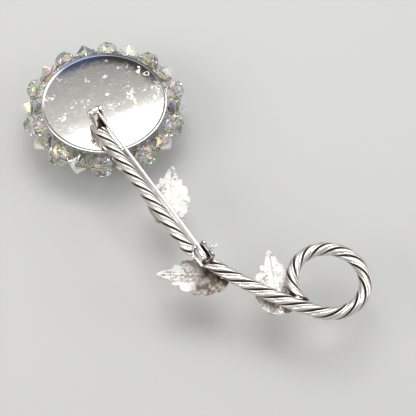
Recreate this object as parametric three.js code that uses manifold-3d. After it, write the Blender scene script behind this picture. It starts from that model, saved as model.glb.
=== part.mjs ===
// A flower brooch, seen and used from its back: a bead flower on a round plate, a twisted-rope stem that
// ends in a loop, three stamped leaves, and a hinged needle that a rotating safety catch holds.
// Millimetres. +Z points out of the back. The origin is the centre of the back plate's flat outer face.
// The straight stem runs towards -Y, and the loop lies on its +X side.

import * as THREE from 'three';
import { mergeVertices } from 'three/addons/utils/BufferGeometryUtils.js';
import Module from 'manifold-3d';

const wasm = await Module();
wasm.setup();

// ---------- driving dimensions ----------

const GAP = 0.3; // between pieces that a solder joint or a crimp holds together

// back plate
const PLATE_RADIUS = 16.5;
const PLATE_THICKNESS = 0.5;
const RIM_WIDTH = 0.45;
const RIM_HEIGHT = 0.15;
const RIM_CHAMFER = 0.1;
const SKIRT_DEPTH = 1.2;
const SKIRT_WALL = 0.5;
const SKIRT_INSET = 0.65;
const PLATE_SEGMENTS = 60;
const PLATE_CENTRE_RADIUS = 3.5; // a ring of edges, so that the centre is a face of its own

// bead screen
const SCREEN_SAG = 3.8;
const SCREEN_WALL = 0.5;
const SCREEN_RINGS = 5;
const SCREEN_SEGMENTS = 36;
const SCREEN_HOLE_RADIUS = 0.55;

// beads
const BEAD_RADIUS = 2.85;
const BEAD_END_RADIUS = 1.17; // of the flat round each end of its hole
const BEAD_SHOULDER = 0.72; // where its facets change slope, as shares of its radius
const BEAD_WAIST = 0.3;
const BICONE_RADIUS = 2.8;
const BICONE_END_RADIUS = 0.95;
const BEAD_HOLE_RADIUS = 0.5;
const CENTRE_BEAD_RADIUS = 3.5;
const CENTRE_BEAD_END_RADIUS = 1.37;
const BEAD_SIDES = 8;
const BEAD_CLEARANCE = 0.35; // between a bead and the screen
const BEAD_END_GAP = 0.8; // along the wire, between neighbours of the outer ring
const OUTER_BEAD_PAIRS = 10; // a round bead and a bicone each
const MIDDLE_COUNT = 12;
const INNER_COUNT = 6;
const OUTER_RING_CLEARANCE = 0.52; // from the plate's rim to the widest bead
const OUTER_RING_DROP = 2.46; // from the plate's face to the outer ring's wire
const OUTER_RING_TURN = THREE.MathUtils.degToRad(21.5); // of its first round bead, from +X
const INNER_RING_CLEARANCE = 0.25; // from the centre bead
const MIDDLE_RING_CLEARANCE = 0.6; // from the inner ring

// bead wire
const WIRE_RADIUS = 0.2;
const WIRE_SIDES = 6;
const LACING_RADIUS = 0.15;
const HEAD_PIN_RADIUS = 0.7;
const HEAD_PIN_THICKNESS = 0.35;
const HEAD_PIN_CLEARANCE = 0.15; // below its bead, and short of the screen

// rope stem and its loop
const ROPE_RADIUS = 1.7;
const ROPE_LIFT = 0.35; // rope's underside above the plate's face
const ROPE_PITCH = 18;
const STRAND_COUNT = 4;
const STRAND_SPACE = 0.24; // between neighbouring strands
const STRAND_CROWN = 0.4; // how far a strand's edges lie inside the rope's radius
const CORE_RADIUS = 0.6;
const CORE_CURVE_SEGMENTS = 2;
const STEM_X = -6.4;
const STEM_TOP_Y = -9.3;
const STRAIGHT_LENGTH = 39.4;
const BEND_RADIUS = 10;
const BEND_ANGLE = THREE.MathUtils.degToRad(17.5);
const SLANT_LENGTH = 34;
const SLANT_TURN = THREE.MathUtils.degToRad(21.3); // the slant is a slight arc
const LOOP_RADIUS = 8.7;
const LOOP_SWEEP = THREE.MathUtils.degToRad(330); // cut back where the loop's end meets the slant
const ROPE_STEP = 1.5;

// hinge
const HINGE_WALL = 0.45;
const HINGE_INNER_WIDTH = 2.1;
const HINGE_LENGTH = 4.3;
const HINGE_FLOOR = 0.4;
const EAR_RADIUS = 1.0;
const EAR_CURVE_SEGMENTS = 6;
const RIVET_RADIUS = 0.38;
const RIVET_HEAD_RADIUS = 0.75;
const RIVET_HEAD_THICKNESS = 0.3;
const RIVET_SIDES = 12;
const PIVOT_CLEARANCE = 0.1;
const KNUCKLE_RADIUS = 0.9;
const KNUCKLE_SIDE_CLEARANCE = 0.15;
const KNUCKLE_SIDES = 16;

// needle
const NEEDLE_RADIUS = 0.42;
const NEEDLE_POINT_LENGTH = 4;
const NEEDLE_POINT_RADIUS = 0.06;
const NEEDLE_SIDES = 10;
const NEEDLE_OFFSET = 1.25; // sideways from the stem's centreline
const NEEDLE_OVERRUN = 1.5; // needle's point past the middle of the catch

// safety catch
const CATCH_PAST_BEND = 6.8; // along Y, from where the bend starts to the catch's middle
const CATCH_LENGTH = 4.4;
const CATCH_BASE_THICKNESS = 0.4;
const CATCH_BASE_WIDTH = 3.8;
const CATCH_RING_WIDTH = 0.85;
const CATCH_RING_WALL = 0.45;
const CATCH_MOUTH = THREE.MathUtils.degToRad(80);
const CATCH_RING_SEGMENTS = 16;
const ROTOR_RADIUS = 1.65;
const ROTOR_NECK = 0.35; // how much thinner the rotor is inside the rings
const ROTOR_CLEARANCE = 0.15;
const ROTOR_SLOT_CLEARANCE = 0.13;
const ROTOR_SIDES = 24;
const LEVER_LENGTH = 2.1;
const LEVER_WIDTH = 0.9;
const LEVER_THICKNESS = 0.65;

// leaves
const LEAF_LENGTH = 17.5;
const LEAF_HALF_WIDTH = 5.4;
const LEAF_THICKNESS = 0.4;
const LEAF_FOLD = THREE.MathUtils.degToRad(7);
const LEAF_NOTCH = 1.05; // depth of the notch before each tooth
const LEAF_NOTCH_SETBACK = 0.2; // the notch's bottom behind the tooth's point
const LEAF_TOOTH_LENGTH = 0.9; // the tooth's flat flank
// Where each base sits, along the rope from the stem's top and across it to the left,
// and the way its tip points.
const LEAVES = [
  { along: 32, across: 0, pointing: 53.5 },
  { along: 53.3, across: 0.7, pointing: 146 },
  { along: 68.6, across: -2.7, pointing: 65.5 },
];

// ---------- sizes that follow from them ----------

const SKIRT_OUTER_RADIUS = PLATE_RADIUS - SKIRT_INSET;
const SCREEN_RADIUS = SKIRT_OUTER_RADIUS - SKIRT_WALL - GAP;
const SCREEN_RIM_Z = -PLATE_THICKNESS - GAP;
const SCREEN_SPHERE_RADIUS = (SCREEN_RADIUS ** 2 + SCREEN_SAG ** 2) / (2 * SCREEN_SAG);
const OUTER_COUNT = 2 * OUTER_BEAD_PAIRS;
const BEAD_LENGTH = 2 * Math.sqrt(BEAD_RADIUS ** 2 - BEAD_END_RADIUS ** 2);
const OUTER_REACH = Math.max(BEAD_RADIUS, BICONE_RADIUS) + OUTER_RING_CLEARANCE;
// the outer ring clears the plate's rim, and is long enough for its beads
const OUTER_RING_BELOW_PLATE = OUTER_RING_DROP - PLATE_THICKNESS;
const RING_ROUND_PLATE = PLATE_RADIUS + Math.sqrt(OUTER_REACH ** 2 - OUTER_RING_BELOW_PLATE ** 2);
const RING_FOR_BEADS = (BEAD_LENGTH + BEAD_END_GAP) / (2 * Math.tan(Math.PI / OUTER_COUNT));
const OUTER_RING_RADIUS = Math.max(RING_ROUND_PLATE, RING_FOR_BEADS);
const OUTER_BEAD_PITCH = 2 * OUTER_RING_RADIUS * Math.tan(Math.PI / OUTER_COUNT);
const BICONE_LENGTH = OUTER_BEAD_PITCH - BEAD_END_GAP;
const INNER_RING_RADIUS = CENTRE_BEAD_RADIUS + BEAD_RADIUS + INNER_RING_CLEARANCE;
const MIDDLE_RING_RADIUS = INNER_RING_RADIUS + 2 * BEAD_RADIUS + MIDDLE_RING_CLEARANCE;
const ROPE_Z = ROPE_LIFT + ROPE_RADIUS;
const ROPE_TOP_Z = ROPE_Z + ROPE_RADIUS;
const NEEDLE_Z = ROPE_TOP_Z + GAP / 2 + CATCH_BASE_THICKNESS + ROTOR_CLEARANCE + ROTOR_RADIUS;
const NEEDLE_X = STEM_X + NEEDLE_OFFSET;
const HINGE_X = NEEDLE_X + NEEDLE_RADIUS + KNUCKLE_SIDE_CLEARANCE - HINGE_INNER_WIDTH / 2;
const HINGE_END_Y = STEM_TOP_Y + GAP;
const PIVOT_Y = HINGE_END_Y + HINGE_LENGTH - EAR_RADIUS;
const CATCH_Y = STEM_TOP_Y - STRAIGHT_LENGTH - CATCH_PAST_BEND;
const LEAF_Z = ROPE_LIFT - GAP;

// ---------- materials ----------

const platedMirror = new THREE.MeshStandardMaterial({ color: 0xd0cecb, roughness: 0.12, metalness: 1 });
const platedRope = new THREE.MeshStandardMaterial({ color: 0xc9c5c0, roughness: 0.28, metalness: 1 });
const platedLeaf = new THREE.MeshStandardMaterial({ color: 0xd4d1cc, roughness: 0.42, metalness: 1 });
const pinSteel = new THREE.MeshStandardMaterial({ color: 0xdedcd9, roughness: 0.18, metalness: 1 });
const brassWire = new THREE.MeshStandardMaterial({ color: 0xa98f62, roughness: 0.35, metalness: 1 });
const crystal = new THREE.MeshStandardMaterial({ color: 0xdfe4e2, roughness: 0.05, metalness: 0 });

// ---------- solids ----------

const brooch = new THREE.Group();

function addPiece(name, geometry, material, parent = brooch) {
  const mesh = new THREE.Mesh(geometry, material);
  mesh.name = name;
  parent.add(mesh);
  return mesh;
}

function toSolid(geometry) {
  const bare = geometry.clone();
  bare.deleteAttribute('normal');
  bare.deleteAttribute('uv');
  const merged = mergeVertices(bare, 1e-5);
  const mesh = new wasm.Mesh({
    numProp: 3,
    vertProperties: new Float32Array(merged.attributes.position.array),
    triVerts: new Uint32Array(merged.index.array),
  });
  return new wasm.Manifold(mesh);
}

function toGeometry(solid) {
  const mesh = solid.getMesh();
  const geometry = new THREE.BufferGeometry();
  geometry.setAttribute('position', new THREE.BufferAttribute(new Float32Array(mesh.vertProperties), 3));
  geometry.setIndex(new THREE.BufferAttribute(new Uint32Array(mesh.triVerts), 1));
  geometry.computeVertexNormals();
  return geometry;
}

function join(geometries) {
  return geometries.map(toSolid).reduce((whole, piece) => whole.add(piece));
}

function polygonProfile(points) {
  return points.map(([x, y]) => new THREE.Vector2(x, y));
}

// Lathed round Z, from points of radius and depth below the plate's face.
function latheByDepth(points, segments) {
  const geometry = new THREE.LatheGeometry(polygonProfile(points), segments);
  geometry.rotateX(-Math.PI / 2);
  return geometry;
}

function rod(from, to, radius, sides) {
  const axis = new THREE.Vector3().subVectors(to, from);
  const geometry = new THREE.CylinderGeometry(radius, radius, axis.length(), sides);
  const lengthwise = new THREE.Vector3(0, 1, 0);
  geometry.applyQuaternion(new THREE.Quaternion().setFromUnitVectors(lengthwise, axis.clone().normalize()));
  geometry.translate((from.x + to.x) / 2, (from.y + to.y) / 2, (from.z + to.z) / 2);
  return geometry;
}

function box(width, depth, height, x, y, z) {
  const geometry = new THREE.BoxGeometry(width, depth, height);
  geometry.translate(x, y, z);
  return geometry;
}

// ---------- back plate: a thin disc with a rolled rim and a skirt crimped round the screen ----------

function backPlate() {
  const rimInner = PLATE_RADIUS - RIM_WIDTH;
  const skirtInner = SKIRT_OUTER_RADIUS - SKIRT_WALL;
  return latheByDepth(
    [
      [0, 0],
      [PLATE_CENTRE_RADIUS, 0],
      [rimInner - RIM_CHAMFER, 0],
      [rimInner, -RIM_HEIGHT],
      [PLATE_RADIUS - RIM_CHAMFER, -RIM_HEIGHT],
      [PLATE_RADIUS, RIM_CHAMFER - RIM_HEIGHT],
      [PLATE_RADIUS, PLATE_THICKNESS - RIM_CHAMFER],
      [PLATE_RADIUS - RIM_CHAMFER, PLATE_THICKNESS],
      [SKIRT_OUTER_RADIUS, PLATE_THICKNESS],
      [SKIRT_OUTER_RADIUS, PLATE_THICKNESS + SKIRT_DEPTH],
      [skirtInner, PLATE_THICKNESS + SKIRT_DEPTH],
      [skirtInner, PLATE_THICKNESS],
      [0, PLATE_THICKNESS],
    ],
    PLATE_SEGMENTS,
  );
}

// ---------- bead screen: a spherical cap with rings of lacing holes ----------

function screenDepth(radius) {
  const sphere = SCREEN_SPHERE_RADIUS;
  return SCREEN_SAG - (sphere - Math.sqrt(sphere ** 2 - radius ** 2));
}

// z of the screen's front face at a distance from its middle
function screenFrontZ(radius) {
  return SCREEN_RIM_Z - screenDepth(radius) - SCREEN_WALL;
}

function beadScreen() {
  const back = [];
  const front = [];
  for (let i = 0; i <= SCREEN_RINGS; i += 1) {
    const r = (SCREEN_RADIUS * i) / SCREEN_RINGS;
    back.push([r, -SCREEN_RIM_Z + screenDepth(r)]);
    front.push([r, -screenFrontZ(r)]);
  }
  const dome = toSolid(latheByDepth([...back, ...front.reverse()], SCREEN_SEGMENTS));
  const holeRings = [
    { radius: MIDDLE_RING_RADIUS, count: MIDDLE_COUNT },
    { radius: INNER_RING_RADIUS, count: INNER_COUNT },
  ];
  const holeEnd = SCREEN_RIM_Z - SCREEN_SAG - 2 * SCREEN_WALL;
  let screen = dome;
  for (const { radius, count } of holeRings) {
    for (let i = 0; i < count; i += 1) {
      const angle = (2 * Math.PI * (i + 0.5)) / count;
      const x = radius * Math.cos(angle);
      const y = radius * Math.sin(angle);
      const hole = rod(
        new THREE.Vector3(x, y, holeEnd),
        new THREE.Vector3(x, y, SCREEN_RIM_Z + GAP / 2),
        SCREEN_HOLE_RADIUS,
        WIRE_SIDES,
      );
      screen = screen.subtract(toSolid(hole));
    }
  }
  return toGeometry(screen);
}

// ---------- beads: each is turned round its threading hole, which lies along the wire ----------

function roundBead(radius, endRadius) {
  const half = Math.sqrt(radius ** 2 - endRadius ** 2);
  const heights = [-BEAD_SHOULDER, -BEAD_WAIST, BEAD_WAIST, BEAD_SHOULDER];
  return new THREE.LatheGeometry(
    polygonProfile([
      [BEAD_HOLE_RADIUS, -half],
      [endRadius, -half],
      ...heights.map((height) => [radius * Math.sqrt(1 - height ** 2), radius * height]),
      [endRadius, half],
      [BEAD_HOLE_RADIUS, half],
      [BEAD_HOLE_RADIUS, -half],
    ]),
    BEAD_SIDES,
  );
}

function biconeBead() {
  const half = BICONE_LENGTH / 2;
  return new THREE.LatheGeometry(
    polygonProfile([
      [BEAD_HOLE_RADIUS, -half],
      [BICONE_END_RADIUS, -half],
      [BICONE_RADIUS, 0],
      [BICONE_END_RADIUS, half],
      [BEAD_HOLE_RADIUS, half],
      [BEAD_HOLE_RADIUS, -half],
    ]),
    BEAD_SIDES,
  );
}

function placeOnRing(mesh, ringRadius, angle, z) {
  mesh.position.set(ringRadius * Math.cos(angle), ringRadius * Math.sin(angle), z);
  mesh.rotation.z = angle;
}

function twoDigits(number) {
  return String(number).padStart(2, '0');
}

// Wire that runs straight through each bead and bends between beads,
// with lacing to the screen at some bends.
function ringWire({ ringRadius, count, z, turn, bendsPerLacing, laceTo }) {
  const bendRadius = ringRadius / Math.cos(Math.PI / count);
  const ring = new THREE.TorusGeometry(bendRadius, WIRE_RADIUS, WIRE_SIDES, count);
  ring.rotateZ(turn + Math.PI / count);
  ring.translate(0, 0, z);
  const pieces = [ring];
  for (let i = 0; i < count; i += bendsPerLacing) {
    const angle = turn + (2 * Math.PI * (i + 0.5)) / count;
    const bend = new THREE.Vector3(bendRadius * Math.cos(angle), bendRadius * Math.sin(angle), z);
    const { radius, z: endZ } = laceTo;
    const end = new THREE.Vector3(radius * Math.cos(angle), radius * Math.sin(angle), endZ);
    pieces.push(rod(bend, end, LACING_RADIUS, WIRE_SIDES));
  }
  return toGeometry(join(pieces));
}

function addOuterRing() {
  for (let i = 0; i < OUTER_COUNT; i += 1) {
    const angle = OUTER_RING_TURN + (2 * Math.PI * i) / OUTER_COUNT;
    const isRound = i % 2 === 0;
    const name = `${isRound ? 'outer_bead' : 'outer_bicone'}_${twoDigits(i + 1)}`;
    const geometry = isRound ? roundBead(BEAD_RADIUS, BEAD_END_RADIUS) : biconeBead();
    placeOnRing(addPiece(name, geometry, crystal), OUTER_RING_RADIUS, angle, -OUTER_RING_DROP);
  }
  const wire = ringWire({
    ringRadius: OUTER_RING_RADIUS,
    count: OUTER_COUNT,
    z: -OUTER_RING_DROP,
    turn: OUTER_RING_TURN,
    bendsPerLacing: 1,
    // the lacing ends beside the skirt
    laceTo: { radius: SKIRT_OUTER_RADIUS + GAP + LACING_RADIUS, z: -PLATE_THICKNESS - SKIRT_DEPTH / 2 },
  });
  addPiece('outer_wire', wire, brassWire);
}

function addFrontRing(label, ringRadius, count) {
  const z = screenFrontZ(ringRadius) - BEAD_CLEARANCE - BEAD_RADIUS;
  for (let i = 0; i < count; i += 1) {
    const angle = (2 * Math.PI * i) / count;
    const name = `${label}_bead_${twoDigits(i + 1)}`;
    placeOnRing(addPiece(name, roundBead(BEAD_RADIUS, BEAD_END_RADIUS), crystal), ringRadius, angle, z);
  }
  const wire = ringWire({
    ringRadius,
    count,
    z,
    turn: 0,
    bendsPerLacing: 2,
    // the lacing ends in the middle of the screen's wall, in its hole
    laceTo: { radius: ringRadius, z: screenFrontZ(ringRadius) + SCREEN_WALL / 2 },
  });
  addPiece(`${label}_wire`, wire, brassWire);
}

function addCentreBead() {
  const top = screenFrontZ(0);
  const half = Math.sqrt(CENTRE_BEAD_RADIUS ** 2 - CENTRE_BEAD_END_RADIUS ** 2);
  const z = top - BEAD_CLEARANCE - half;
  const bead = roundBead(CENTRE_BEAD_RADIUS, CENTRE_BEAD_END_RADIUS);
  bead.rotateX(Math.PI / 2);
  bead.translate(0, 0, z);
  addPiece('centre_bead', bead, crystal);
  const headTop = z - half - HEAD_PIN_CLEARANCE;
  const shank = rod(
    new THREE.Vector3(0, 0, headTop - HEAD_PIN_THICKNESS / 2),
    new THREE.Vector3(0, 0, top - HEAD_PIN_CLEARANCE),
    WIRE_RADIUS,
    WIRE_SIDES,
  );
  const head = rod(
    new THREE.Vector3(0, 0, headTop - HEAD_PIN_THICKNESS),
    new THREE.Vector3(0, 0, headTop),
    HEAD_PIN_RADIUS,
    2 * WIRE_SIDES,
  );
  addPiece('centre_wire', toGeometry(join([shank, head])), brassWire);
}

// ---------- rope: strands twisted round a core, along a line, a bend, a slant and a loop ----------

// Centreline in the plane, by length from the stem's top: point and heading.
const HEADING_DOWN = -Math.PI / 2;
const ROPE_SECTIONS = [
  { length: STRAIGHT_LENGTH, turn: 0 },
  { length: BEND_RADIUS * BEND_ANGLE, turn: BEND_ANGLE },
  { length: SLANT_LENGTH, turn: SLANT_TURN },
  { length: LOOP_RADIUS * LOOP_SWEEP, turn: LOOP_SWEEP },
];
const LOOP_START = STRAIGHT_LENGTH + BEND_RADIUS * BEND_ANGLE + SLANT_LENGTH;
const ROPE_LENGTH = ROPE_SECTIONS.reduce((sum, section) => sum + section.length, 0);

function ropeAt(distance) {
  let x = STEM_X;
  let y = STEM_TOP_Y;
  let heading = HEADING_DOWN;
  let left = distance;
  for (const section of ROPE_SECTIONS) {
    const run = section === ROPE_SECTIONS.at(-1) ? left : Math.min(left, section.length);
    if (section.turn === 0) {
      x += run * Math.cos(heading);
      y += run * Math.sin(heading);
    } else {
      const radius = section.length / section.turn;
      const turned = run / radius;
      x += radius * (Math.sin(heading + turned) - Math.sin(heading));
      y -= radius * (Math.cos(heading + turned) - Math.cos(heading));
      heading += turned;
    }
    left -= run;
    if (left <= 0) {
      break;
    }
  }
  return { x, y, heading };
}

// A straight bar along Z, bent and twisted onto the rope's centreline. Left-handed twist.
function layAlongRope(geometry, twistPerLength) {
  const place = geometry.attributes.position;
  for (let i = 0; i < place.count; i += 1) {
    const distance = place.getZ(i);
    const spin = -twistPerLength * distance;
    const across = place.getX(i) * Math.cos(spin) - place.getY(i) * Math.sin(spin);
    const up = place.getX(i) * Math.sin(spin) + place.getY(i) * Math.cos(spin);
    const { x, y, heading } = ropeAt(distance);
    place.setXYZ(i, x - across * Math.sin(heading), y + across * Math.cos(heading), ROPE_Z + up);
  }
  geometry.computeVertexNormals();
  return geometry;
}

function strandAngle(strand) {
  return (2 * Math.PI * (strand + 0.5)) / STRAND_COUNT;
}

// One strand's section: a crowned band between two flanks, standing off its neighbours and the core.
function strandSection(strand) {
  const middle = strandAngle(strand);
  const innerRadius = CORE_RADIUS + STRAND_SPACE;
  const edgeRadius = ROPE_RADIUS - STRAND_CROWN;
  const halfAngleAt = (radius) => Math.PI / STRAND_COUNT - STRAND_SPACE / (2 * radius);
  const at = (radius, angle) => new THREE.Vector2(radius * Math.cos(angle), radius * Math.sin(angle));
  const outerHalf = halfAngleAt(edgeRadius);
  const innerHalf = halfAngleAt(innerRadius);
  return new THREE.Shape([
    at(innerRadius, middle - innerHalf),
    at(edgeRadius, middle - outerHalf),
    at(ROPE_RADIUS, middle - outerHalf / 2),
    at(ROPE_RADIUS, middle + outerHalf / 2),
    at(edgeRadius, middle + outerHalf),
    at(innerRadius, middle + innerHalf),
  ]);
}

// Distance from a point to the rope's centreline before the loop starts.
function distanceToStem(x, y) {
  let nearest = Infinity;
  for (let distance = 0; distance <= LOOP_START; distance += ROPE_STEP) {
    const point = ropeAt(distance);
    nearest = Math.min(nearest, Math.hypot(x - point.x, y - point.y));
  }
  return nearest;
}

// The loop's end is cut off where a strand would come within the gap of the stem.
function strandLength(strand) {
  const strandReach = ROPE_RADIUS / Math.SQRT2;
  let length = ROPE_LENGTH;
  for (; length > LOOP_START; length -= ROPE_STEP / 4) {
    const spin = strandAngle(strand) - (2 * Math.PI * length) / ROPE_PITCH;
    const { x, y, heading } = ropeAt(length);
    const across = strandReach * Math.cos(spin);
    const strandX = x - across * Math.sin(heading);
    const strandY = y + across * Math.cos(heading);
    if (distanceToStem(strandX, strandY) > ROPE_RADIUS + strandReach / 2 + GAP) {
      break;
    }
  }
  return length;
}

function ropeStrand(strand) {
  const length = strandLength(strand);
  const bar = new THREE.ExtrudeGeometry(strandSection(strand), {
    depth: length,
    steps: Math.round(length / ROPE_STEP),
    bevelEnabled: false,
  });
  return layAlongRope(bar, (2 * Math.PI) / ROPE_PITCH);
}

function ropeCore() {
  const length = Math.min(...Array.from({ length: STRAND_COUNT }, (_, strand) => strandLength(strand)));
  const section = new THREE.Shape();
  section.absarc(0, 0, CORE_RADIUS, 0, 2 * Math.PI);
  const bar = new THREE.ExtrudeGeometry(section, {
    depth: length,
    steps: Math.round(length / (2 * ROPE_STEP)),
    bevelEnabled: false,
    curveSegments: CORE_CURVE_SEGMENTS,
  });
  return layAlongRope(bar, 0);
}

// ---------- hinge: a U bracket, its rivet and the needle's knuckle ----------

function earOutline() {
  const outline = new THREE.Shape();
  outline.moveTo(HINGE_END_Y, ROPE_LIFT);
  outline.lineTo(PIVOT_Y + EAR_RADIUS, ROPE_LIFT);
  outline.lineTo(PIVOT_Y + EAR_RADIUS, NEEDLE_Z);
  outline.absarc(PIVOT_Y, NEEDLE_Z, EAR_RADIUS, 0, Math.PI / 2);
  outline.lineTo(PIVOT_Y - EAR_RADIUS, NEEDLE_Z + EAR_RADIUS);
  outline.lineTo(HINGE_END_Y, NEEDLE_Z - EAR_RADIUS);
  outline.closePath();
  const hole = new THREE.Path();
  hole.absarc(PIVOT_Y, NEEDLE_Z, RIVET_RADIUS + PIVOT_CLEARANCE, 0, 2 * Math.PI, true);
  outline.holes.push(hole);
  return outline;
}

function hingeEar(x) {
  const ear = new THREE.ExtrudeGeometry(earOutline(), {
    depth: HINGE_WALL,
    bevelEnabled: false,
    curveSegments: EAR_CURVE_SEGMENTS,
  });
  // the outline's axes are Y and Z, and its depth becomes X
  ear.applyMatrix4(new THREE.Matrix4().makeBasis(
    new THREE.Vector3(0, 1, 0),
    new THREE.Vector3(0, 0, 1),
    new THREE.Vector3(1, 0, 0),
  ));
  ear.translate(x, 0, 0);
  return ear;
}

function hingeBracket() {
  const outerWidth = HINGE_INNER_WIDTH + 2 * HINGE_WALL;
  const base = box(
    outerWidth,
    HINGE_LENGTH,
    HINGE_FLOOR,
    HINGE_X,
    HINGE_END_Y + HINGE_LENGTH / 2,
    ROPE_LIFT + HINGE_FLOOR / 2,
  );
  const left = hingeEar(HINGE_X - outerWidth / 2);
  const right = hingeEar(HINGE_X + HINGE_INNER_WIDTH / 2);
  return toGeometry(join([base, left, right]));
}

// A rod on the hinge's axis.
function alongX(fromX, toX, radius, sides) {
  const from = new THREE.Vector3(fromX, PIVOT_Y, NEEDLE_Z);
  const to = new THREE.Vector3(toX, PIVOT_Y, NEEDLE_Z);
  return rod(from, to, radius, sides);
}

function hingeRivet() {
  const half = HINGE_INNER_WIDTH / 2 + HINGE_WALL + PIVOT_CLEARANCE;
  const left = HINGE_X - half;
  const right = HINGE_X + half;
  return toGeometry(join([
    alongX(left - RIVET_HEAD_THICKNESS / 2, right + RIVET_HEAD_THICKNESS / 2, RIVET_RADIUS, RIVET_SIDES),
    alongX(left - RIVET_HEAD_THICKNESS, left, RIVET_HEAD_RADIUS, RIVET_SIDES),
    alongX(right, right + RIVET_HEAD_THICKNESS, RIVET_HEAD_RADIUS, RIVET_SIDES),
  ]));
}

function pinNeedle() {
  const half = HINGE_INNER_WIDTH / 2 - KNUCKLE_SIDE_CLEARANCE;
  const knuckle = alongX(HINGE_X - half, HINGE_X + half, KNUCKLE_RADIUS, KNUCKLE_SIDES);
  const holeRadius = RIVET_RADIUS + PIVOT_CLEARANCE;
  const hole = alongX(HINGE_X - 2 * half, HINGE_X + 2 * half, holeRadius, RIVET_SIDES);
  const rootY = PIVOT_Y - holeRadius;
  const tipY = CATCH_Y - NEEDLE_OVERRUN;
  const length = rootY - tipY;
  const needle = new THREE.LatheGeometry(
    polygonProfile([
      [0, -length],
      [NEEDLE_POINT_RADIUS, -length],
      [NEEDLE_RADIUS, NEEDLE_POINT_LENGTH - length],
      [NEEDLE_RADIUS, 0],
      [0, 0],
    ]),
    NEEDLE_SIDES,
  );
  needle.translate(NEEDLE_X, rootY, NEEDLE_Z);
  return toGeometry(toSolid(knuckle).add(toSolid(needle)).subtract(toSolid(hole)));
}

// ---------- safety catch: a saddle with two open rings, and a slotted rotor with a lever ----------

const RING_INNER_RADIUS = ROTOR_RADIUS - ROTOR_NECK + ROTOR_CLEARANCE;

function catchRing(y) {
  const outer = RING_INNER_RADIUS + CATCH_RING_WALL;
  const start = Math.PI / 2 + CATCH_MOUTH / 2;
  const end = start + 2 * Math.PI - CATCH_MOUTH;
  const outline = new THREE.Shape();
  outline.absarc(0, 0, outer, start, end, false);
  outline.absarc(0, 0, RING_INNER_RADIUS, end, start, true);
  outline.closePath();
  const ring = new THREE.ExtrudeGeometry(outline, {
    depth: CATCH_RING_WIDTH,
    bevelEnabled: false,
    curveSegments: CATCH_RING_SEGMENTS,
  });
  // the outline's axes become X and Z, and its depth runs towards -Y
  ring.rotateX(Math.PI / 2);
  ring.translate(NEEDLE_X, y, NEEDLE_Z);
  return ring;
}

function catchHousing() {
  const baseZ = ROPE_TOP_Z + GAP / 2;
  const outer = RING_INNER_RADIUS + CATCH_RING_WALL;
  const ringFoot = NEEDLE_Z - Math.sqrt(outer ** 2 - (outer / 2) ** 2);
  const front = CATCH_Y + CATCH_LENGTH / 2;
  const rear = CATCH_Y - CATCH_LENGTH / 2 + CATCH_RING_WIDTH;
  const pieces = [
    box(
      CATCH_BASE_WIDTH,
      CATCH_LENGTH,
      CATCH_BASE_THICKNESS,
      NEEDLE_X,
      CATCH_Y,
      baseZ + CATCH_BASE_THICKNESS / 2,
    ),
    catchRing(front),
    catchRing(rear),
  ];
  // each ring stands on the saddle on a short foot
  for (const y of [front, rear]) {
    pieces.push(box(
      outer,
      CATCH_RING_WIDTH,
      ringFoot - baseZ,
      NEEDLE_X,
      y - CATCH_RING_WIDTH / 2,
      (ringFoot + baseZ) / 2,
    ));
  }
  const bore = rod(
    new THREE.Vector3(NEEDLE_X, front + GAP, NEEDLE_Z),
    new THREE.Vector3(NEEDLE_X, CATCH_Y - CATCH_LENGTH / 2 - GAP, NEEDLE_Z),
    RING_INNER_RADIUS,
    ROTOR_SIDES,
  );
  return toGeometry(join(pieces).subtract(toSolid(bore)));
}

function catchRotor() {
  const half = CATCH_LENGTH / 2;
  const shoulder = half - CATCH_RING_WIDTH - ROTOR_CLEARANCE;
  const neck = ROTOR_RADIUS - ROTOR_NECK;
  const barrel = new THREE.LatheGeometry(
    polygonProfile([
      [0, -half],
      [neck, -half],
      [neck, -shoulder],
      [ROTOR_RADIUS, -shoulder],
      [ROTOR_RADIUS, shoulder],
      [neck, shoulder],
      [neck, half],
      [0, half],
    ]),
    ROTOR_SIDES,
  );
  const slotHalf = NEEDLE_RADIUS + ROTOR_SLOT_CLEARANCE;
  const slotTop = ROTOR_RADIUS + GAP;
  const slot = box(2 * slotHalf, CATCH_LENGTH + GAP, slotTop + slotHalf, 0, 0, (slotTop - slotHalf) / 2);
  // the lever grows out of the solid side of the barrel
  const leverRoot = (ROTOR_RADIUS + slotHalf) / 2;
  const leverEnd = ROTOR_RADIUS + LEVER_LENGTH;
  const lever = box(leverEnd - leverRoot, LEVER_WIDTH, LEVER_THICKNESS, (leverRoot + leverEnd) / 2, 0, 0);
  const rotor = toGeometry(toSolid(barrel).subtract(toSolid(slot)).add(toSolid(lever)));
  rotor.translate(NEEDLE_X, CATCH_Y, NEEDLE_Z);
  return rotor;
}

// ---------- leaves: stamped sheet, toothed, folded slightly along the midrib ----------

// Each tooth's point, from the tip: shares of the leaf's length along it and of its half width out.
const LEAF_TEETH = [
  { along: 0.215, out: 0.5 },
  { along: 0.365, out: 0.77 },
  { along: 0.53, out: 0.95 },
  { along: 0.7, out: 1 },
  { along: 0.86, out: 0.82 },
];
const LEAF_TIP_SHARE = 0.09; // how wide the leaf is just behind its tip
const LEAF_BASE_SHARE = 0.4; // and at its base

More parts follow.
